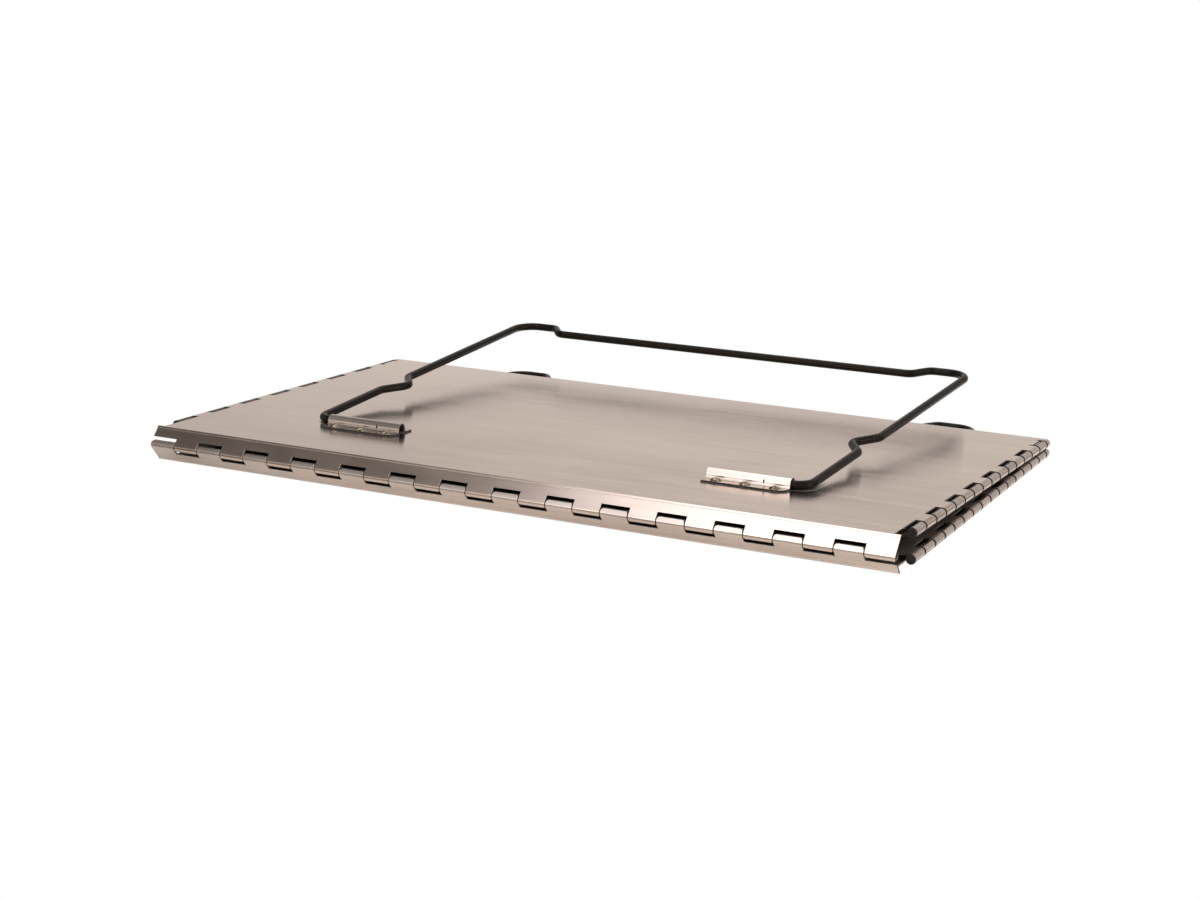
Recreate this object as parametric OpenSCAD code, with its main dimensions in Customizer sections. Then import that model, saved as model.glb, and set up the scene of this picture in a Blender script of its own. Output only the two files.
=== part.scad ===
// Folding sheet-steel fire trough: two hinged walls, four folding end leaves and two wire legs.
// Shown folded flat, lying on its lower brackets and its lower leg.
// X runs along the main hinge, Y from the hinge to the rims, Z up from the ground.
// The origin is on the ground, under the middle of all that the folded trough covers.

/* [Walls] */
// Length of each wall along the main hinge
wall_l = 560; // [480:1:640]
// Depth of each wall from its front bend to its rim
wall_d = 320; // [280:1:360]
// Thickness of the wall, leaf and bracket sheet
sheet_t = 1.2; // [0.8:0.1:1.5]

/* [Main hinge] */
// Diameter of the main hinge rod
rod_d = 4; // [3:0.1:5]
// Radial clearance of a knuckle on its rod
rod_fit = 0.05; // [0.02:0.01:0.1]
// Number of knuckles along the main hinge
knuckles = 28; // [20:2:36]
// Gap between two neighbouring knuckles
knuckle_gap = 0.7; // [0.4:0.1:1.2]
// Distance of the rod's axis in front of the wall's bend
rod_reach = 5.8; // [5:0.1:8]
// Distance of the rod's axis from the wall's outer face
rod_drop = 12.3; // [11:0.1:14]
// Radial clearance between a knuckle and the other wall's flange
window_gap = 2.3; // [1.5:0.1:3]
// Corner radius of a hinge tab
tab_round = 2; // [1:0.1:2.5]
// Angle between the walls when the trough is set up
open_angle = 56; // [50:1:60]

/* [End leaves] */
// Diameter of an end hinge rod
end_rod_d = 4; // [3:0.1:4.5]
// Spacing of the knuckles of an end hinge: the last one is cut off at the rim
end_pitch = 19.5; // [17:0.5:24]
// Distance from the front bend to the first end knuckle
end_start = 20; // [15:1:30]
// Gap between two neighbouring knuckles of an end hinge
end_gap = 1.2; // [0.5:0.1:2]
// Width of the slot beside an end knuckle
end_slot = 1.6; // [0.5:0.1:4]
// Gap beside the leaf's last knuckle, where the slot is cut close to it
rim_slot = 0.3; // [0.2:0.1:0.5]
// Gap left between the two end hinges at the rims when folded
rim_gap = 0.6; // [0.5:0.1:2]
// Angle that an end leaf turns through
leaf_turn = 90; // [75:1:95]

/* [Legs] */
// Diameter of the leg wire
wire_d = 6; // [5:0.1:6.5]
// Distance of the top leg's elbows from the middle
arm_x = 191; // [190:1:205]
// Distance of the top leg's feet from the middle
foot_x = 198; // [190:1:212]
// Extra half-width of the bottom leg, so that the legs cross
arm_offset = 8.5; // [7.5:0.1:10]
// Distance from a leg's pivot to the middle of its feet
leg_l = 320; // [290:1:340]
// Distance of the leg pivots from the front bend
pivot_y = 72; // [66:1:80]
// Depth of the kink in an arm
kink_depth = 13; // [10:1:16]
// Distance along the arm from a kink's start to its tip
kink_run = 20; // [18:1:26]
// Length of a foot along the cross bar
foot_l = 32; // [28:1:45]
// Height of the cross bar above the feet when the leg stands
foot_step = 16; // [12:1:20]
// Angle between the top leg and its wall as it lies folded
top_leg_lift = 4.3; // [1:0.1:8]

/* [Brackets] */
// Length of a bracket along the wire
bracket_l = 60; // [54:1:66]
// Depth of a bracket across the wire
bracket_d = 26; // [24:1:34]
// Distance of a bracket's middle from the middle of the wall
bracket_x = 150; // [140:1:152]
// Width of the flat along a bracket's crest, on which the folded trough rests
crest_w = 2.4; // [1:0.1:3]
// Radial clearance of the wire in its bracket
wire_fit = 0.1; // [0.05:0.01:0.1]
// Gap between the wire and the wall
wire_gap = 0.3; // [0.3:0.1:1]
// Diameter of a rivet's body
rivet_d = 4.8; // [4:0.1:5]
// Diameter of a rivet's head
rivet_head_d = 7.6; // [7:0.1:8.2]
// Radial clearance of a rivet in its holes
rivet_fit = 0.05; // [0.02:0.01:0.1]

/* [Hidden] */
$fn = 48;
eps = 0.02;
// Reach of a cut past the face it opens
over = 1;

pitch = wall_l / knuckles;
knuckle_r = rod_d / 2 + rod_fit + sheet_t;
end_r = end_rod_d / 2 + rod_fit + sheet_t;
end_knuckles = ceil((wall_d - end_start) / end_pitch - 0.2);
last_leaf_knuckle = 2 * floor((end_knuckles - 1) / 2);
end_x = wall_l / 2;
plate_x = end_x - end_r - end_slot;
rim_x = end_x - rim_slot - sqrt(end_r * end_r - pow(end_r - sheet_t, 2));

// Flange from the bend to the knuckle: it leaves the bend at flange_tilt from the upright
rod_dist = norm([rod_reach, rod_drop]);
flange_tilt = atan2(rod_reach, rod_drop) + asin(knuckle_r / rod_dist);
flange_l = sqrt(rod_dist * rod_dist - knuckle_r * knuckle_r);
window_r = knuckle_r + window_gap;

// Walls: the rims close until the end hinges nearly touch, and the leaves turn with the walls
rim_y = wall_d + rod_reach;
closed_angle = 2 * atan((rod_drop - 2 * end_r - rim_gap / 2) / rim_y);
fold_range = open_angle + closed_angle;
leaf_ratio = leaf_turn / fold_range;
leaf_margin = 0.97;
narrow_leaf_w = leaf_margin * rim_y / leaf_ratio / 2;
wide_leaf_w = rim_y / leaf_ratio;

// Legs: their arms cross at the kinks when the trough stands
wire_r = wire_d / 2;
wire_z = wire_r + wire_gap;
hump_r = wire_r + wire_fit + sheet_t;
bracket_h = wire_z + sqrt(hump_r * hump_r - crest_w * crest_w / 4);
elbow_bend_r = 10;
foot_bend_r = 16;
kink_bend_r = 8;
// A bend is a hair fatter than the straight wire, which laps into it
bend_bulge = 0.02;
bend_lap = 0.3;
kink_r = pivot_y + rod_reach + (rod_drop + wire_z) / tan(open_angle / 2);
foot_slope_x = 11;
wire_tail = 12;
bottom_leg_drop = asin((bracket_h - wire_z - wire_r - bend_bulge) / leg_l);

// Middle of the folded trough from its knuckles to the feet of its legs
top_pivot_y = (pivot_y + rod_reach) * cos(closed_angle) + (rod_drop + wire_z) * sin(closed_angle)
    - rod_reach;
top_feet_y = top_pivot_y + leg_l * cos(top_leg_lift - closed_angle);
bottom_feet_y = pivot_y + leg_l * cos(bottom_leg_drop);
back_y = max(top_feet_y, bottom_feet_y) + wire_r + bend_bulge;
front_y = -rod_reach - knuckle_r;
middle_y = (front_y + back_y) / 2;

// Brackets: three rivets on each flange
hump_fillet = 1.5;
bracket_corner = 8;
rivet_rows = 3;
rivet_y = (hump_r + bracket_d / 2) / 2 + hump_fillet / 4;
rivet_margin = 9;
rivet_pitch = (bracket_l - 2 * rivet_margin) / (rivet_rows - 1);
rivet_head_h = 1.7;
rivet_tail_d = 6.6;
rivet_tail_h = 1.8;
mandrel_d = 2.4;
mandrel_depth = 1.1;
slit_w = 1;
slit_h = 2.2;
slit_at = 0.69;

steel = [0.74, 0.70, 0.66];
rod_steel = [0.66, 0.62, 0.52];
rivet_steel = [0.78, 0.70, 0.55];
black_wire = [0.10, 0.09, 0.09];

// Placing: a wall and all that it carries are drawn with the outer face at Z = 0, facing up
module on_bottom_wall() {
    translate([0, -middle_y, bracket_h]) mirror([0, 0, 1]) children();
}

module on_main_rod() {
    translate([0, -middle_y - rod_reach, bracket_h + rod_drop]) children();
}

module on_top_wall() {
    on_main_rod() rotate([-closed_angle, 0, 0]) translate([0, rod_reach, rod_drop]) children();
}

// side is -1 for the left end and 1 for the right end
module at_end(side) {
    if (side < 0) mirror([1, 0, 0]) children();
    else children();
}

// A round bar along X from x0 to x1, and one along Y
module bar_x(r, x0, x1) {
    translate([x0, 0, 0]) rotate([0, 90, 0]) cylinder(r = r, h = x1 - x0);
}

module bar_y(r, y0, y1) {
    translate([0, y0, 0]) rotate([-90, 0, 0]) cylinder(r = r, h = y1 - y0);
}

// Section of a wall across the main hinge, drawn in Y and Z and run along X
module along_x(x0, x1) {
    translate([x0, 0, 0]) rotate([90, 0, 90]) linear_extrude(x1 - x0) children();
}

module flange_2d() {
    translate([0, -sheet_t]) circle(r = sheet_t);
    rotate(-flange_tilt) translate([0, -flange_l]) square([sheet_t, flange_l - eps]);
}

module knuckle_2d() {
    translate([-rod_reach, -rod_drop]) circle(r = knuckle_r);
}

// Rounds the lower corners of a hinge tab, seen from the front
module tab_corner(x, turn) {
    translate([x, -rod_reach, -rod_drop - knuckle_r])
        mirror([turn, 0, 0]) rotate([90, 0, 0]) translate([0, 0, -2 * knuckle_r])
            linear_extrude(4 * knuckle_r) difference() {
                translate([-over, -over]) square(tab_round + over);
                translate([tab_round, tab_round]) circle(r = tab_round);
            }
}

// first is 0 where the first knuckle from the left belongs to this wall, and 1 where it doesn't
module hinge_edge(first) {
    difference() {
        union() {
            along_x(-wall_l / 2, wall_l / 2) flange_2d();
            for (i = [first : 2 : knuckles - 1])
                along_x(tab_start(i), tab_end(i)) knuckle_2d();
        }
        for (i = [1 - first : 2 : knuckles - 1])
            translate([0, -rod_reach, -rod_drop])
                bar_x(window_r, window_start(i), window_end(i));
        for (i = [first : 2 : knuckles - 1]) {
            tab_corner(tab_start(i), 0);
            tab_corner(tab_end(i), 1);
        }
        translate([0, -rod_reach, -rod_drop])
            bar_x(rod_d / 2 + rod_fit, -wall_l / 2 - over, wall_l / 2 + over);
    }
}

function tab_start(i) = -wall_l / 2 + i * pitch + (i == 0 ? 0 : knuckle_gap / 2);
function tab_end(i) = -wall_l / 2 + (i + 1) * pitch - (i == knuckles - 1 ? 0 : knuckle_gap / 2);
function window_start(i) = -wall_l / 2 + i * pitch - (i == 0 ? over : knuckle_gap / 2);
function window_end(i) = -wall_l / 2 + (i + 1) * pitch + (i == knuckles - 1 ? over : knuckle_gap / 2);

// Knuckles of an end hinge: first is 0 for the leaf's set, which starts at the front
function end_y(i) = i == end_knuckles ? wall_d : end_start + i * end_pitch;
function end_y0(i) = end_y(i) + end_gap / 2;
function end_y1(i) = end_y(i + 1) - (i == end_knuckles - 1 ? 0 : end_gap / 2);

module end_tubes(first) {
    for (i = [first : 2 : end_knuckles - 1])
        translate([end_x, 0, -end_r]) bar_y(end_r, end_y0(i), end_y1(i));
}

module end_bore() {
    translate([end_x, 0, -end_r]) bar_y(end_rod_d / 2 + rod_fit, 0, wall_d + over);
}

// Strips of sheet that reach out to the knuckles of one set
module end_strips(first, z) {
    for (i = [first : 2 : end_knuckles - 1])
        translate([plate_x - over, end_y0(i), z])
            cube([end_x - plate_x + over, end_y1(i) - end_y0(i), sheet_t]);
}

// The wall reaches closer to the leaf's last knuckle than to the others
module rim_strip() {
    y0 = end_y1(last_leaf_knuckle - 1) - over;
    y1 = min(wall_d, end_y0(last_leaf_knuckle + 1) + over);
    translate([plate_x - over, y0, -sheet_t]) cube([rim_x - plate_x + over, y1 - y0, sheet_t]);
}

// The leaves have the first, third and so on, and the wall has the others
module wall_ends() {
    for (side = [-1, 1])
        at_end(side) {
            end_tubes(1);
            end_strips(1, -sheet_t);
            rim_strip();
        }
}

module wall(hinge_first) {
    difference() {
        union() {
            hinge_edge(hinge_first);
            translate([-plate_x, 0, -sheet_t]) cube([2 * plate_x, wall_d, sheet_t]);
            translate([-wall_l / 2, 0, -sheet_t]) cube([wall_l, sheet_t, sheet_t]);
            wall_ends();
        }
        for (side = [-1, 1]) {
            at_end(side) end_bore();
            bracket_place(side) rivet_places() translate([0, 0, -sheet_t - over])
                cylinder(r = rivet_d / 2 + rivet_fit, h = sheet_t + 2 * over);
        }
    }
}

// An end leaf folded in under its wall: rim_w is its width at the rim
module leaf(side, rim_w) {
    y0 = end_y0(0);
    y1 = wall_d - end_gap / 2;
    root_w = rod_drop - end_r;
    slope = (rim_w - root_w) / rim_y;
    at_end(side) difference() {
        union() {
            end_tubes(0);
            end_strips(0, -2 * end_r);
            translate([0, 0, -2 * end_r]) linear_extrude(sheet_t)
                polygon([[plate_x, y0],
                         [end_x - root_w - slope * (y0 + rod_reach), y0],
                         [end_x - root_w - slope * (y1 + rod_reach), y1],
                         [plate_x, y1]]);
        }
        end_bore();
    }
}

module end_rod(side) {
    at_end(side) translate([end_x, 0, -end_r])
        bar_y(end_rod_d / 2, end_start + end_gap, wall_d - end_gap);
}

module bracket_place(side) {
    translate([side * bracket_x, pivot_y, 0]) children();
}

module rivet_places() {
    for (row = [0 : rivet_rows - 1], flank = [-1, 1])
        translate([-bracket_l / 2 + rivet_margin + row * rivet_pitch, flank * rivet_y, 0])
            children();
}

module bracket_section() {
    difference() {
        union() {
            translate([-bracket_d / 2, 0]) square([bracket_d, sheet_t]);
            translate([0, wire_z]) circle(r = hump_r);
            translate([-hump_r - hump_fillet, 0])
                square([2 * (hump_r + hump_fillet), sheet_t + hump_fillet]);
            translate([-hump_r, 0]) square([2 * hump_r, wire_z]);
        }
        for (flank = [-1, 1])
            translate([flank * (hump_r + hump_fillet), sheet_t + hump_fillet])
                circle(r = hump_fillet);
        translate([0, wire_z]) circle(r = wire_r + wire_fit);
        translate([-wire_r - wire_fit, -over]) square([2 * (wire_r + wire_fit), wire_z + over]);
        translate([-hump_r, bracket_h]) square([2 * hump_r, hump_r]);
    }
}

module bracket() {
    difference() {
        along_x(-bracket_l / 2, bracket_l / 2) bracket_section();
        rivet_places() translate([0, 0, -over])
            cylinder(r = rivet_d / 2 + rivet_fit, h = sheet_t + 2 * over);
        translate([bracket_l / 2 - bracket_corner, -bracket_d / 2 + bracket_corner, -over])
            linear_extrude(bracket_h + 2 * over) difference() {
                translate([0, -bracket_corner - over]) square(bracket_corner + over);
                circle(r = bracket_corner);
            }
        translate([bracket_l * (slit_at - 0.5) - slit_w / 2, -hump_r - over, sheet_t + hump_fillet])
            cube([slit_w, hump_r, slit_h]);
    }
}

// A blind rivet from its tail inside the wall to its domed head on the bracket
module rivet() {
    head_z = sheet_t;
    dome_r = (pow(rivet_head_d / 2, 2) + pow(rivet_head_h, 2)) / (2 * rivet_head_h);
    difference() {
        union() {
            translate([0, 0, -sheet_t - rivet_tail_h])
                cylinder(r = rivet_tail_d / 2, h = rivet_tail_h);
            translate([0, 0, -sheet_t - rivet_tail_h])
                cylinder(r = rivet_d / 2, h = 2 * sheet_t + rivet_tail_h + rivet_head_h / 2);
            intersection() {
                translate([0, 0, head_z + rivet_head_h - dome_r]) sphere(r = dome_r);
                translate([0, 0, head_z]) cylinder(r = rivet_head_d / 2, h = rivet_head_h + over);
            }
        }
        translate([0, 0, head_z + rivet_head_h - mandrel_depth])
            cylinder(r = mandrel_d / 2, h = mandrel_depth + over);
    }
}

// Wire bent along points in one plane: radii gives the bend at each inner point
function unit(v) = v / norm(v);
function turn_angle(a, b, c) = acos(unit(b - a) * unit(c - b));
function bend_trim(p, radii, i) =
    i == 0 || i == len(p) - 1 ? 0 : radii[i] * tan(turn_angle(p[i - 1], p[i], p[i + 1]) / 2);

module wire(p, radii) {
    last = len(p) - 2;
    for (i = [0 : last]) {
        d = unit(p[i + 1] - p[i]);
        a = p[i] + d * (bend_trim(p, radii, i) - (i == 0 ? 0 : bend_lap));
        b = p[i + 1] - d * (bend_trim(p, radii, i + 1) - (i == last ? 0 : bend_lap));
        translate([a.x, a.y, 0]) rotate([0, 90, atan2(d.y, d.x)])
            cylinder(r = wire_r, h = norm(b - a));
    }
    for (i = [1 : last]) {
        d = unit(p[i] - p[i - 1]);
        e = unit(p[i + 1] - p[i]);
        hand = d.x * e.y - d.y * e.x > 0 ? 1 : -1;
        inward = [-d.y, d.x] * hand;
        centre = p[i] - d * bend_trim(p, radii, i) + inward * radii[i];
        from = atan2(-inward.y, -inward.x);
        turn = turn_angle(p[i - 1], p[i], p[i + 1]);
        translate([centre.x, centre.y, 0]) rotate([0, 0, hand > 0 ? from : from - turn])
            rotate_extrude(angle = turn) translate([radii[i], 0])
                circle(r = wire_r + bend_bulge);
    }
}

// Points of a leg from the pivot end to the middle of the cross bar, and the bends between them:
// the arms spread from the elbows to the feet, and extra is the leg's additional half-width
function arm_at(extra, r) = arm_x + extra + (foot_x - arm_x) * r / leg_l;
function half_leg(extra) = [
    [bracket_x - bracket_l / 2 + wire_tail, 0],
    [arm_at(extra, 0), 0],
    [arm_at(extra, kink_r - kink_run), kink_r - kink_run],
    [arm_at(extra, kink_r) - kink_depth, kink_r],
    [arm_at(extra, kink_r + kink_run), kink_r + kink_run],
    [foot_x + extra, leg_l],
    [foot_x + extra - foot_l, leg_l],
    [foot_x + extra - foot_l - foot_slope_x, leg_l - foot_step]];
half_bends = [0, elbow_bend_r, kink_bend_r, kink_bend_r, kink_bend_r, foot_bend_r,
              kink_bend_r, kink_bend_r];

module leg(extra, lift) {
    half = half_leg(extra);
    n = len(half) - 1;
    path = concat(half, [for (i = [n : -1 : 0]) [-half[i].x, half[i].y]]);
    bends = concat(half_bends, [for (i = [n : -1 : 0]) half_bends[i]]);
    translate([0, pivot_y, wire_z]) rotate([lift, 0, 0]) wire(path, bends);
}

module bottom_wall() { color(steel) on_bottom_wall() wall(0); }
module top_wall() { color(steel) on_top_wall() wall(1); }
module main_hinge_rod() {
    color(rod_steel) on_main_rod()
        bar_x(rod_d / 2, -wall_l / 2 + knuckle_gap, wall_l / 2 - knuckle_gap);
}
module bottom_leaf(side) { color(steel) on_bottom_wall() leaf(side, wide_leaf_w); }
module top_leaf(side) { color(steel) on_top_wall() leaf(side, narrow_leaf_w); }
module bottom_rod(side) { color(rod_steel) on_bottom_wall() end_rod(side); }
module top_rod(side) { color(rod_steel) on_top_wall() end_rod(side); }
module bottom_bracket(side) { color(steel) on_bottom_wall() bracket_place(side) bracket(); }
module top_bracket(side) { color(steel) on_top_wall() bracket_place(side) bracket(); }
module bottom_rivets(side) {
    color(rivet_steel) on_bottom_wall() bracket_place(side) rivet_places() rivet();
}
module top_rivets(side) {
    color(rivet_steel) on_top_wall() bracket_place(side) rivet_places() rivet();
}
module bottom_leg() { color(black_wire) on_bottom_wall() leg(arm_offset, bottom_leg_drop); }
module top_leg() { color(black_wire) on_top_wall() leg(0, top_leg_lift); }

bottom_wall();
top_wall();
main_hinge_rod();
bottom_leaf(-1);  // bottom_left_leaf
bottom_leaf(1);  // bottom_right_leaf
top_leaf(-1);  // top_left_leaf
top_leaf(1);  // top_right_leaf
bottom_rod(-1);  // bottom_left_rod
bottom_rod(1);  // bottom_right_rod
top_rod(-1);  // top_left_rod
top_rod(1);  // top_right_rod
bottom_bracket(-1);  // bottom_left_bracket
bottom_bracket(1);  // bottom_right_bracket
top_bracket(-1);  // top_left_bracket
top_bracket(1);  // top_right_bracket
bottom_rivets(-1);  // bottom_left_rivets
bottom_rivets(1);  // bottom_right_rivets
top_rivets(-1);  // top_left_rivets
top_rivets(1);  // top_right_rivets
bottom_leg();
top_leg();
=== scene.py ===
import math

import bpy
from mathutils import Matrix, Vector


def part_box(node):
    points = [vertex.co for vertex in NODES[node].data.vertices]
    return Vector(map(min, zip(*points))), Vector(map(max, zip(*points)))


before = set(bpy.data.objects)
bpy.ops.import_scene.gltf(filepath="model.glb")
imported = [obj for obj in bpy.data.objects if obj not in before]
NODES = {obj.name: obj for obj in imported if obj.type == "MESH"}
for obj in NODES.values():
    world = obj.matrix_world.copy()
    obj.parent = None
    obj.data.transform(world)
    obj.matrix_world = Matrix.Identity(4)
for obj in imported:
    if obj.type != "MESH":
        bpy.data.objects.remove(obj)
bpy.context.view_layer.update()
scene = bpy.context.scene

WHITE = (1.0, 1.0, 1.0)


# Node trees

# Sockets of a Mix node in colour mode, by place, since several there share a name
MIX_FIRST, MIX_SECOND, MIX_RESULT = 6, 7, 2


class Nodes:
    """Short calls for the nodes of one shader tree."""

    def __init__(self, tree):
        self.tree = tree

    def feed(self, socket, value):
        """Link a node's output to the socket, or set a number, a direction or a colour on it."""
        if isinstance(value, bpy.types.NodeSocket):
            self.tree.links.new(value, socket)
        elif socket.type == "RGBA":
            socket.default_value = (*value, 1.0)
        else:
            socket.default_value = value

    def add(self, kind, inputs, **settings):
        """A new node of this kind, with its inputs fed by name or by place."""
        node = self.tree.nodes.new("ShaderNode" + kind)
        for key, value in settings.items():
            setattr(node, key, value)
        for key, value in inputs.items():
            self.feed(node.inputs[key], value)
        return node

    def math(self, operation, first, second=0.0):
        node = self.add("Math", {0: first, 1: second}, operation=operation)
        return node.outputs["Value"]

    def times(self, product, *others):
        for other in others:
            product = self.math("MULTIPLY", product, other)
        return product

    def weighted(self, *pairs):
        """The sum of the values, each times its weight."""
        *others, total = [self.times(value, weight) for value, weight in pairs]
        for other in reversed(others):
            total = self.math("ADD", other, total)
        return total

    def part(self, vector, axis):
        return self.add("SeparateXYZ", {"Vector": vector}).outputs[axis]

    def size(self, vector, axis):
        return self.math("ABSOLUTE", self.part(vector, axis))

    def dot(self, vector, direction):
        node = self.add("VectorMath", {0: vector, 1: direction}, operation="DOT_PRODUCT")
        return node.outputs["Value"]

    def span(self, value, low, high, to_low, to_high, how="LINEAR"):
        """The range low to high spread over to_low to to_high, and held at its ends."""
        ends = {"From Min": low, "From Max": high, "To Min": to_low, "To Max": to_high}
        node = self.add("MapRange", {"Value": value, **ends}, interpolation_type=how)
        return node.outputs["Result"]

    def smooth(self, value, low, high, to_low, to_high):
        return self.span(value, low, high, to_low, to_high, "SMOOTHSTEP")

    def rise(self, value, low, high):
        """A mask that is 0 below low and 1 above high."""
        return self.span(value, low, high, 0.0, 1.0)

    def fall(self, value, low, high):
        """A mask that is 1 below low and 0 above high."""
        return self.span(value, low, high, 1.0, 0.0)

    def mix(self, factor, first, second):
        """The first colour where the factor is 0, the second where it is 1."""
        inputs = {"Factor": factor, MIX_FIRST: first, MIX_SECOND: second}
        return self.add("Mix", inputs, data_type="RGBA").outputs[MIX_RESULT]

    def ramp(self, value, stops):
        """Colours blended between stops, which run from place 0 to place 1."""
        node = self.add("ValToRGB", {"Fac": value})
        elements = node.color_ramp.elements
        (_, first), *between, (_, last) = stops
        elements[0].color, elements[1].color = (*first, 1.0), (*last, 1.0)
        for place, color in between:
            elements.new(place).color = (*color, 1.0)
        return node.outputs["Color"]

    def background(self, color, strength):
        return self.add("Background", {"Color": color, "Strength": strength}).outputs[0]

    def emission(self, color, strength):
        return self.add("Emission", {"Color": color, "Strength": strength}).outputs[0]

    def both(self, first, second):
        return self.add("AddShader", {0: first, 1: second}).outputs[0]

    def seen_or_lit(self, seen, lit):
        """One shader for the eye, another for light and reflections."""
        to_eye = self.add("LightPath", {}).outputs["Is Camera Ray"]
        return self.add("MixShader", {0: to_eye, 1: lit, 2: seen}).outputs[0]


class Look(Nodes):
    """A material with its Principled shader, and the shade painted into its colour."""

    def __init__(self, name):
        self.material = bpy.data.materials.new(name)
        self.material.use_nodes = True
        super().__init__(self.material.node_tree)
        self.shader = self.tree.nodes["Principled BSDF"]
        coordinates = self.add("TexCoord", {})
        self.where = coordinates.outputs["Object"]
        self.facing = coordinates.outputs["Normal"]
        self.color = None
        self.unshaded = 1.0

    def shade(self, **inputs):
        """Feed inputs of the Principled shader, with _ for each space in a name."""
        for key, value in inputs.items():
            self.feed(self.shader.inputs[key.replace("_", " ")], value)

    def noise(self, scale, detail, rough, stretch=None, warp=0.0):
        """Noise by place. A stretch below 1 draws it out along that axis."""
        at = self.where
        if stretch:
            at = self.add("Mapping", {"Vector": at, "Scale": stretch}).outputs["Vector"]
        inputs = {"Vector": at, "Scale": scale, "Detail": detail, "Roughness": rough,
                  "Distortion": warp}
        return self.add("TexNoise", inputs).outputs["Fac"]

    def bump(self, height, depth, strength=1.0, after=None):
        node = self.add("Bump", {"Height": height, "Distance": depth, "Strength": strength})
        if after is not None:
            self.feed(node.inputs["Normal"], after)
        return node.outputs["Normal"]

    def rounded(self, radius):
        return self.add("Bevel", {"Radius": radius}, samples=6).outputs["Normal"]

    def lay_shade(self, mask, painted_shade):
        """Paint dull dark shade over the metal where the mask is 1."""
        self.color = self.mix(mask, self.color, painted_shade)
        self.unshaded = self.times(self.unshaded, self.math("SUBTRACT", 1.0, mask))

    def paint_crevice_shade(self, reach):
        """Painted shade in gaps and corners narrower than the reach, from ambient occlusion."""
        node = self.add("AmbientOcclusion", {"Distance": reach}, samples=8)
        self.lay_shade(self.fall(node.outputs["AO"], *CREVICE_OPENNESS), CREVICE_SHADE)

    def finish_metal(self, rough, normal):
        """Metal where no shade is painted, dull where shade is painted."""
        dull = self.times(self.math("SUBTRACT", 1.0, self.unshaded), SHADE_ROUGH)
        rough = self.math("ADD", self.times(rough, self.unshaded), dull)
        self.shade(Base_Color=self.color, Metallic=self.unshaded, Roughness=rough, Normal=normal,
                   Specular_IOR_Level=SHADE_SHINE)
        return self.material


# Places on the grill, in metres: the mean of its two halves, which lie almost mirrored

AXIS_X, AXIS_Y = 0, 1


def sides(axis, *nodes):
    """The mean of the nodes' low sides and that of their high sides along an axis."""
    boxes = [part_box(node) for node in nodes]
    return [sum(box[side][axis] for box in boxes) / len(boxes) for side in (0, 1)]


def soft(edge, half):
    """The two places between which a mask turns at this edge."""
    return edge - half, edge + half


# The end hinges: slot beside a knuckle, gap between two, and pitch from one to the next
END_SLOT, END_GAP, END_PITCH = 0.0016, 0.0012, 0.0195

END_X = sum(sides(AXIS_X, "top_right_rod", "bottom_right_rod")) / 2
KNUCKLE_R = sides(AXIS_X, "top_wall", "bottom_wall")[1] - END_X
END_ROD_Y = sides(AXIS_Y, "top_right_rod", "bottom_right_rod")[0]
MAIN_ROD_Y = sum(sides(AXIS_Y, "main_hinge_rod")) / 2
BRACKET_Y = sum(sides(AXIS_Y, "top_left_bracket", "bottom_left_bracket")) / 2

# Outward from the middle, the start of the end hinges, of a leaf's clean knuckles and of the
# main hinge's cut ends
HINGE_X = soft(END_X - KNUCKLE_R - END_SLOT, 0.0004)
CURL_X = (END_X - 0.0005, END_X + 0.0012)
CUT_X = soft(END_X - 0.001, 0.0005)
# To the rear, the end of the painted shade in the main hinge and the start of the painted shade
# inside the trough
FRONT_Y = soft(END_ROD_Y - 0.010, 0.002)
TROUGH_Y = soft(MAIN_ROD_Y + 1.2 * KNUCKLE_R, 0.0005)
# Away from a bracket's middle line, the start of its flanges
FLANGE_Y = soft(0.0085, 0.0003)


# Painted shade

# Near-black painted shade in seams, on cut faces and on ends
SHADE_TONE = (0.030, 0.024, 0.019)
INNER_SHADE_DARK, INNER_SHADE_BROWN = (0.048, 0.040, 0.033), (0.110, 0.091, 0.075)
INNER_SHADE_CONTRAST = (0.36, 0.64)
# Painted shade in gaps is full at the first share of open surroundings and gone at the second
CREVICE_SHADE, CREVICE_OPENNESS = (0.035, 0.028, 0.022), (0.25, 0.80)
# Painted shade to either side of a seam, in pitches
SEAM_SHADE = (0.05, 0.12)
# Roughness and specular level where shade is painted
SHADE_ROUGH, SHADE_SHINE = 0.6, 0.25

# How squarely a face looks along an axis, from 0 to 1: its mask turns between the two values
TURNED, UPRIGHT, CUT_FACE = (0.3, 0.6), (0.2, 0.5), (0.7, 0.9)
BRACKET_END, WIRE_END = (0.6, 0.8), (0.995, 0.999)


def inner_shade(look):
    """Patchy painted shade, from near black to brown."""
    broad = look.noise(scale=9.0, detail=5.0, rough=0.65, stretch=(1.0, 1.0, 0.6))
    fine = look.noise(scale=90.0, detail=3.0, rough=0.6)
    patch = look.weighted((broad, 0.7), (fine, 0.3))
    return look.mix(look.rise(patch, *INNER_SHADE_CONTRAST), INNER_SHADE_DARK, INNER_SHADE_BROWN)


def hinge_shade(look):
    """Painted shade in the seams of the end hinges and on the knuckles' cut faces."""
    along = look.part(look.where, "Y")
    pitches = look.math("DIVIDE", look.math("SUBTRACT", along, END_ROD_Y - END_GAP), END_PITCH)
    seam = look.fall(look.math("PINGPONG", pitches, 0.5), *SEAM_SHADE)
    cut = look.rise(look.size(look.facing, "Y"), *CUT_FACE)
    at_hinge = look.times(look.rise(look.size(look.where, "X"), *HINGE_X),
                          look.rise(along, *FRONT_Y))
    look.lay_shade(look.times(look.math("MAXIMUM", seam, cut), at_hinge), SHADE_TONE)


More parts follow.
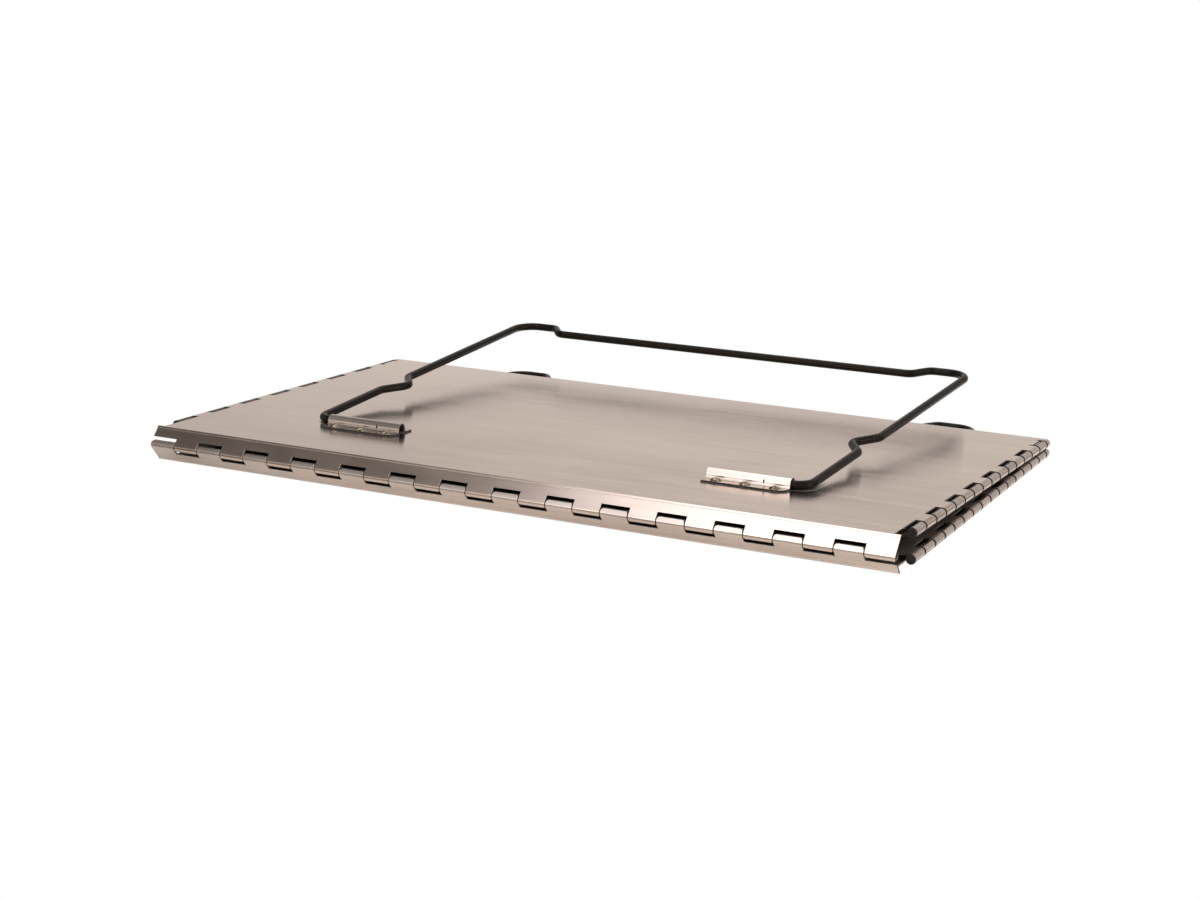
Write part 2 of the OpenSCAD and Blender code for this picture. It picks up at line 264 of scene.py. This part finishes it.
def wall_shade(look, inward):
    """Patchy painted shade on the face inside the fold, up or down by the sign of inward, and
    painted shade at the hinge.
    """
    along = look.part(look.where, "Y")
    outward = look.size(look.where, "X")
    turned = look.rise(look.times(look.part(look.facing, "Z"), inward), *TURNED)
    inner = look.times(look.fall(outward, *HINGE_X), look.rise(along, *TROUGH_Y))
    look.lay_shade(look.times(turned, inner), inner_shade(look))
    # Painted shade on rear-facing faces and cut faces in the main hinge
    behind = look.rise(look.part(look.facing, "Y"), *TURNED)
    cut = look.times(look.rise(look.size(look.facing, "X"), *CUT_FACE),
                     look.rise(outward, *CUT_X))
    look.lay_shade(look.times(look.fall(along, *FRONT_Y), look.math("MAXIMUM", behind, cut)), SHADE_TONE)
    hinge_shade(look)


def upper_shade(look):
    wall_shade(look, -1.0)


def lower_shade(look):
    wall_shade(look, 1.0)


def leaf_shade(look):
    """Patchy painted shade on the leaves, up to the inner side of their knuckles."""
    look.lay_shade(look.fall(look.size(look.where, "X"), *CURL_X), inner_shade(look))
    hinge_shade(look)


def bracket_shade(look):
    """Painted shade on the sheared edges, along the flanges and at the ends."""
    off_middle = look.math("SUBTRACT", look.part(look.where, "Y"), BRACKET_Y)
    on_flange = look.rise(look.math("ABSOLUTE", off_middle), *FLANGE_Y)
    upright = look.fall(look.size(look.facing, "Z"), *UPRIGHT)
    end = look.rise(look.size(look.facing, "X"), *BRACKET_END)
    look.lay_shade(look.math("MAXIMUM", look.times(upright, on_flange), end), SHADE_TONE)


# Materials: each has a light and a dark tone and a range of roughness

def sheet_steel(name, light, dark, rough, painted_shade, brush=1.0, dents=1.0):
    """Rolled sheet: cloudy tone, a fine grain along X, thin dark lines along X, painted shade and
    faint dents.

    brush and dents scale the depth of the grain and of the dents.
    """
    look = Look(name)
    across = look.add("CombineXYZ", {"X": 0.0, "Y": 1.0, "Z": 0.0}).outputs["Vector"]
    look.shade(Anisotropic=0.5, Tangent=across)
    cloud = look.noise(scale=8.0, detail=3.0, rough=0.5, stretch=(1.0, 1.8, 1.0), warp=0.2)
    grain = look.noise(scale=260.0, detail=3.0, rough=0.6, stretch=(0.05, 1.0, 1.0))
    streak = look.noise(scale=16.0, detail=3.0, rough=0.6, stretch=(0.35, 3.0, 1.0), warp=0.5)
    line = look.noise(scale=55.0, detail=2.0, rough=0.5, stretch=(0.04, 1.0, 1.0))
    dent = look.noise(scale=5.0, detail=0.0, rough=0.5, stretch=(1.0, 1.3, 1.0))

    tone = look.rise(look.weighted((cloud, 0.45), (grain, 0.20), (streak, 0.35)), 0.40, 0.60)
    # Thin dark lines along X
    dark_line = look.span(line, 0.66, 0.69, 0.0, 0.35)
    look.color = look.mix(dark_line, look.mix(tone, dark, light), dark)
    # Painted shade in gaps and corners, then the part's own painted shade
    look.paint_crevice_shade(reach=0.003)
    painted_shade(look)

    worn = look.span(look.weighted((streak, 0.5), (cloud, 0.5)), 0.35, 0.65, *rough)
    dented = look.bump(dent, depth=0.0008 * dents, after=look.rounded(0.0003))
    brushed = look.bump(grain, depth=0.000006 * brush, after=dented)
    return look.finish_metal(worn, brushed)


def drawn_wire(name, light, dark, rough, stain_scale):
    """Plain drawn rod with drag lines, a warm tarnish, and painted shade in gaps and on its ends.
    """
    look = Look(name)
    drag = look.noise(scale=500.0, detail=3.0, rough=0.6, stretch=(0.06, 0.06, 1.0))
    stain = look.noise(scale=stain_scale, detail=4.0, rough=0.6)
    look.color = look.mix(look.rise(stain, 0.40, 0.60), dark, light)
    # Painted shade in gaps
    look.paint_crevice_shade(reach=0.002)
    # Painted shade on the rod's ends
    squarely = look.math("MAXIMUM", look.size(look.facing, "Y"), look.size(look.facing, "X"))
    look.lay_shade(look.rise(squarely, *WIRE_END), SHADE_TONE)
    return look.finish_metal(look.span(drag, 0.3, 0.7, *rough), look.bump(drag, depth=0.00002))


def powder_coat(name, light, dark, rough, bare):
    """Satin powder coat with a fine orange peel and a few chips down to bare metal."""
    look = Look(name)
    peel = look.noise(scale=900.0, detail=2.0, rough=0.5)
    dust = look.noise(scale=140.0, detail=4.0, rough=0.7)
    chip = look.noise(scale=210.0, detail=5.0, rough=0.75, warp=0.6)
    coat = look.mix(look.rise(dust, 0.4, 0.75), dark, light)
    look.shade(Base_Color=look.mix(look.rise(chip, 0.735, 0.75), coat, bare),
               Roughness=look.span(dust, 0.3, 0.7, *rough),
               Normal=look.bump(peel, depth=0.00004, strength=0.7),
               Specular_IOR_Level=0.125, Specular_Tint=(1.0, 0.82, 0.66))
    return look.material


UPPER = sheet_steel("sheet_steel", light=(0.69, 0.58, 0.513), dark=(0.57, 0.468, 0.408),
                    rough=(0.14, 0.21), painted_shade=upper_shade)
LOWER = sheet_steel("lower_sheet_steel", light=(0.68, 0.60, 0.54), dark=(0.54, 0.46, 0.41),
                    rough=(0.22, 0.30), painted_shade=lower_shade)
LEAF = sheet_steel("leaf_steel", light=(0.62, 0.54, 0.485), dark=(0.47, 0.40, 0.355),
                   rough=(0.22, 0.30), painted_shade=leaf_shade)
BRACKET = sheet_steel("bracket_steel", light=(0.63, 0.55, 0.49), dark=(0.47, 0.40, 0.35),
                      rough=(0.17, 0.25), painted_shade=bracket_shade, brush=0.8, dents=0.4)
ROD = drawn_wire("rod_wire", light=(0.34, 0.28, 0.20), dark=(0.20, 0.165, 0.12),
                 rough=(0.24, 0.39), stain_scale=60.0)
RIVET = drawn_wire("rivet_plating", light=(0.36, 0.29, 0.19), dark=(0.05, 0.038, 0.026),
                   rough=(0.20, 0.35), stain_scale=420.0)
COAT = powder_coat("black_powder_coat", light=(0.0080, 0.0062, 0.0050),
                   dark=(0.0030, 0.0023, 0.0018), rough=(0.20, 0.32), bare=(0.34, 0.31, 0.27))

# By a node's name or by its last word
MATERIALS = {"top_wall": UPPER, "bottom_wall": LOWER, "leaf": LEAF, "bracket": BRACKET,
             "rod": ROD, "rivets": RIVET, "leg": COAT}

for name, node in NODES.items():
    node.material_slots[0].material = MATERIALS.get(name) or MATERIALS[name.split("_")[-1]]


# Camera: placed by fitting the trough's corners and hinge to the view

YAW, PITCH, ROLL = math.radians(-26.8460), math.radians(14.5340), math.radians(0.6475)
CAMERA_AT = Vector((0.68342, -1.39422, 0.40802))
FOCAL, PICTURE_W = 2164.76, 1200
SENSOR_W = 36.0

forward = Vector((math.sin(YAW) * math.cos(PITCH),
                  math.cos(YAW) * math.cos(PITCH),
                  -math.sin(PITCH)))
flat_right = Vector((math.cos(YAW), -math.sin(YAW), 0.0))
flat_up = flat_right.cross(forward)
right = math.cos(ROLL) * flat_right + math.sin(ROLL) * flat_up
up = math.cos(ROLL) * flat_up - math.sin(ROLL) * flat_right
camera_data = bpy.data.cameras.new("camera")
camera_data.sensor_width = SENSOR_W
camera_data.sensor_fit = "HORIZONTAL"
camera_data.lens = FOCAL / PICTURE_W * SENSOR_W
camera_data.clip_start = 0.05
camera = bpy.data.objects.new("camera", camera_data)
scene.collection.objects.link(camera)
turn = Matrix((right, up, -forward)).transposed().to_4x4()
camera.matrix_world = Matrix.Translation(CAMERA_AT) @ turn
scene.camera = camera


# Studio: white all round to the eye, and shaped in light and reflections to draw the steel

BAND_TINT = (1.0, 0.93, 0.88)
WARM, NEUTRAL, COOL = (1.0, 0.93, 0.86), (1.0, 0.99, 0.98), (1.0, 0.99, 1.02)
REAR_RIGHT, UP_AND_FRONT = (0.45, 0.89, 0.0), (0.0, -0.5, 1.0)
STRIP_FROM, SOFTBOX = -0.90, 2.4


def tinted(tint, *stops):
    """Stops for a ramp: places, each with a tone in one tint."""
    return [(place, tuple(tone * share for share in tint)) for place, tone in stops]


# Tones of the low band from straight down to straight up, with the horizon halfway
BAND = tinted(BAND_TINT, (0.0, 0.30), (0.50, 0.75), (0.560, 1.27), (0.580, 1.20), (0.590, 0.96),
              (0.602, 0.83), (0.62, 0.80), (0.665, 0.70), (0.80, 0.45), (1.0, 0.10))

# Tones across the softbox, from its left end to the middle: dark, the bright strip, dim
STRIP = (tinted(NEUTRAL, (0.0, 0.30))
         + tinted(WARM, (0.20, 0.14), (0.31, 0.022), (0.411, 0.052), (0.458, 0.095), (0.482, 0.14))
         + tinted(COOL, (0.509, 0.28), (0.533, 0.70), (0.556, 1.0), (0.70, 1.0), (0.856, 0.40))
         + tinted(NEUTRAL, (1.0, 0.40)))


world = bpy.data.worlds.new("studio")
world.use_nodes = True
scene.world = world
sky = Nodes(world.node_tree)
sky.tree.nodes.clear()

# Light by direction: x to the right, y to the rear, z up
toward = sky.add("TexCoord", {}).outputs["Generated"]
x, y, z = (sky.part(toward, axis) for axis in "XYZ")

# A low band behind, which the flat sheet mirrors. It is brightest just above the horizon, and
# dims toward the front left and a little to the right. A patch low in front is added to it
band = sky.ramp(sky.rise(z, -1.0, 1.0), BAND)
rear = sky.smooth(sky.dot(toward, REAR_RIGHT), -0.10, 0.58, 0.12, 0.80)
flag = sky.span(x, -0.34, 0.25, 1.0, 0.80)
front = sky.times(sky.smooth(y, -0.45, -0.15, 1.5, 0.0),
                  sky.smooth(x, -0.62, -0.42, 0.3, 1.0),
                  sky.smooth(z, 0.08, 0.24, 1.0, 0.0))
low_band = sky.background(band, sky.math("ADD", sky.times(rear, flag), front))

# A softbox overhead. Its dark left takes the flange from dark to blown out along the hinge.
# Right of its bright strip it is dim, so that sheets seen from other sides stay grey
strip = sky.ramp(sky.rise(x, STRIP_FROM, 0.0), STRIP)
overhead = sky.smooth(sky.dot(toward, UP_AND_FRONT), 0.0, 0.3, 0.0, SOFTBOX)
softbox = sky.background(strip, overhead)

studio = sky.seen_or_lit(sky.background(WHITE, 1.0), sky.both(low_band, softbox))
sky.add("OutputWorld", {"Surface": studio})

# The floor is plain white to the eye. In reflections it is light below the grill and behind it,
# dark in front, most at the left, and it dims at both sides
FLOOR_HALF, FLOOR_Z = 6.0, -0.0004
FLOOR_DARK, FLOOR_LIGHT, FLOOR_GLOW = (0.02, 0.018, 0.016), (0.72, 0.68, 0.64), 0.42

floor_mesh = bpy.data.meshes.new("floor")
corners = [(FLOOR_HALF * across, FLOOR_HALF * back, 0.0)
           for across, back in ((-1, -1), (1, -1), (1, 1), (-1, 1))]
floor_mesh.from_pydata(corners, [], [(0, 1, 2, 3)])
floor = bpy.data.objects.new("floor", floor_mesh)
floor.location.z = FLOOR_Z
scene.collection.objects.link(floor)

paper = bpy.data.materials.new("white_floor")
paper.use_nodes = True
ground = Nodes(paper.node_tree)
ground.tree.nodes.clear()
spot = ground.add("TexCoord", {}).outputs["Object"]
x, y = (ground.part(spot, axis) for axis in "XY")
below = ground.smooth(y, -0.255, -0.205, 0.0, 1.0)
ahead = ground.smooth(x, -0.36, 0.02, 0.08, 0.42)
left_side = ground.smooth(x, -0.34, -0.10, 0.70, 1.0)
right_side = ground.smooth(x, 0.26, 0.42, 1.0, 0.12)
lightness = ground.times(ground.math("MAXIMUM", below, ahead), right_side, left_side)
tone = ground.mix(lightness, FLOOR_DARK, FLOOR_LIGHT)
matt = ground.add("BsdfDiffuse", {"Color": tone}).outputs[0]
lit = ground.both(matt, ground.emission(tone, FLOOR_GLOW))
surface = ground.seen_or_lit(ground.emission(WHITE, 1.0), lit)
ground.add("OutputMaterial", {"Surface": surface})
floor_mesh.materials.append(paper)

# A weak fill from the right
FILL_AT, FILL_AIM = Vector((2.2, -0.2, 0.7)), Vector((0.2, 0.0, 0.0))
FILL_SIZE, FILL_POWER = 1.0, 8.0

fill_data = bpy.data.lights.new("right_fill", "AREA")
fill_data.shape = "SQUARE"
fill_data.size = FILL_SIZE
fill_data.energy = FILL_POWER
fill = bpy.data.objects.new("right_fill", fill_data)
scene.collection.objects.link(fill)
fill.location = FILL_AT
fill.rotation_euler = (FILL_AIM - FILL_AT).to_track_quat("-Z", "Y").to_euler()

scene.view_settings.view_transform = "Standard"
